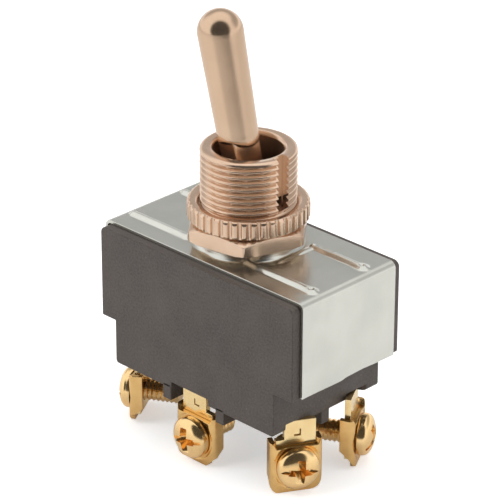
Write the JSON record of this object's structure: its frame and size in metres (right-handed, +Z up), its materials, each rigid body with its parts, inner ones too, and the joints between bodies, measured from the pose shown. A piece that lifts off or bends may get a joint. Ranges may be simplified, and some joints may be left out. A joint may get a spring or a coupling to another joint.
{
  "type": "panel toggle switch",
  "caption": "Toggle switch with a bat lever in a threaded panel neck with hexagon and knurled nuts, a folded steel frame, a dark moulded case and screw clamp terminals.",
  "frame": {"origin": "on the neck's axis at the upper face of the ring nut, where the free thread begins", "axes": "+Z up the neck towards the lever, +X along the lever's throw towards the keyway, +Y across the switch; the lever rests leaning towards -X"},
  "size_m": [0.0346, 0.0228, 0.0576],
  "materials": {
    "phenolic": "moulded phenolic, dark brown, dulled with age",
    "frame_steel": "zinc plated sheet steel, slightly yellowed",
    "card_board": "fibre insulating card",
    "nickel": "dull nickel plate over brass, warm with age",
    "pin_steel": "plain steel",
    "yoke_plastic": "moulded phenolic",
    "plunger_brass": "turned brass",
    "spring_steel": "spring wire",
    "copper": "stamped copper",
    "silver": "silver contact faces",
    "terminal_brass": "stamped brass",
    "clamp_brass": "stamped brass, bright",
    "screw_brass": "turned brass"
  },
  "bodies": {
    "base": {"case": "phenolic", "frame": "frame_steel", "insulator_card": "card_board", "bushing": "nickel", "hex_nut": "nickel", "cross_pin": "pin_steel", "terminal_near_left": "terminal_brass", "terminal_near_mid": "terminal_brass", "terminal_near_right": "terminal_brass", "terminal_far_left": "terminal_brass", "terminal_far_mid": "terminal_brass", "terminal_far_right": "terminal_brass", "fixed_contact_near_left": "silver", "fixed_contact_near_right": "silver", "fixed_contact_far_left": "silver", "fixed_contact_far_right": "silver"},
    "lever": {"lever": "nickel", "yoke": "yoke_plastic", "spring_near": "spring_steel", "spring_far": "spring_steel"},
    "plunger_near": {"plunger_near": "plunger_brass"},
    "plunger_far": {"plunger_far": "plunger_brass"},
    "moving_contact_near": {"rocker_near": "copper", "rocker_buttons_near": "silver"},
    "moving_contact_far": {"rocker_far": "copper", "rocker_buttons_far": "silver"},
    "ring_nut": {"ring_nut": "nickel"},
    "clamp_near_left": {"clamp_near_left": "clamp_brass", "screw_near_left": "screw_brass"},
    "clamp_near_mid": {"clamp_near_mid": "clamp_brass", "screw_near_mid": "screw_brass"},
    "clamp_near_right": {"clamp_near_right": "clamp_brass", "screw_near_right": "screw_brass"},
    "clamp_far_left": {"clamp_far_left": "clamp_brass", "screw_far_left": "screw_brass"},
    "clamp_far_mid": {"clamp_far_mid": "clamp_brass", "screw_far_mid": "screw_brass"},
    "clamp_far_right": {"clamp_far_right": "clamp_brass", "screw_far_right": "screw_brass"}
  },
  "joints": [
    {"name": "lever_tilt", "type": "hinge", "parent": "base", "child": "lever", "pos_m": [0, 0, 0.00005], "axis": [0, 1, 0], "range_deg": [0, 26.6]},
    {"name": "plunger_near_slide", "type": "slide", "parent": "lever", "child": "plunger_near", "axis": [-0.23, 0, 0.9732], "range_m": [0, 0.0008], "deforming": ["spring_near"]},
    {"name": "moving_contact_near_rock", "type": "hinge", "parent": "base", "child": "moving_contact_near", "pos_m": [0, -0.0046, -0.0183], "axis": [0, 1, 0], "range_deg": [-12, 0]},
    {"name": "plunger_far_slide", "type": "slide", "parent": "lever", "child": "plunger_far", "axis": [-0.23, 0, 0.9732], "range_m": [0, 0.0008], "deforming": ["spring_far"]},
    {"name": "moving_contact_far_rock", "type": "hinge", "parent": "base", "child": "moving_contact_far", "pos_m": [0, 0.0046, -0.0183], "axis": [0, 1, 0], "range_deg": [-12, 0]},
    {"name": "ring_nut_travel", "type": "slide", "parent": "base", "child": "ring_nut", "axis": [0, 0, 1], "range_m": [0, 0.007]},
    {"name": "clamp_near_left_travel", "type": "slide", "parent": "base", "child": "clamp_near_left", "axis": [-0.866, -0.5, 0], "range_m": [0, 0.002]},
    {"name": "clamp_near_mid_travel", "type": "slide", "parent": "base", "child": "clamp_near_mid", "axis": [0, -1, 0], "range_m": [0, 0.002]},
    {"name": "clamp_near_right_travel", "type": "slide", "parent": "base", "child": "clamp_near_right", "axis": [0.866, -0.5, 0], "range_m": [0, 0.002]},
    {"name": "clamp_far_left_travel", "type": "slide", "parent": "base", "child": "clamp_far_left", "axis": [-0.866, 0.5, 0], "range_m": [0, 0.002]},
    {"name": "clamp_far_mid_travel", "type": "slide", "parent": "base", "child": "clamp_far_mid", "axis": [0, 1, 0], "range_m": [0, 0.002]},
    {"name": "clamp_far_right_travel", "type": "slide", "parent": "base", "child": "clamp_far_right", "axis": [0.866, 0.5, 0], "range_m": [0, 0.002]}
  ],
  "couplings": [
    {"joint": "moving_contact_near_rock", "follows": "lever_tilt", "ratio": -0.4511},
    {"joint": "moving_contact_far_rock", "follows": "lever_tilt", "ratio": -0.4511}
  ]
}
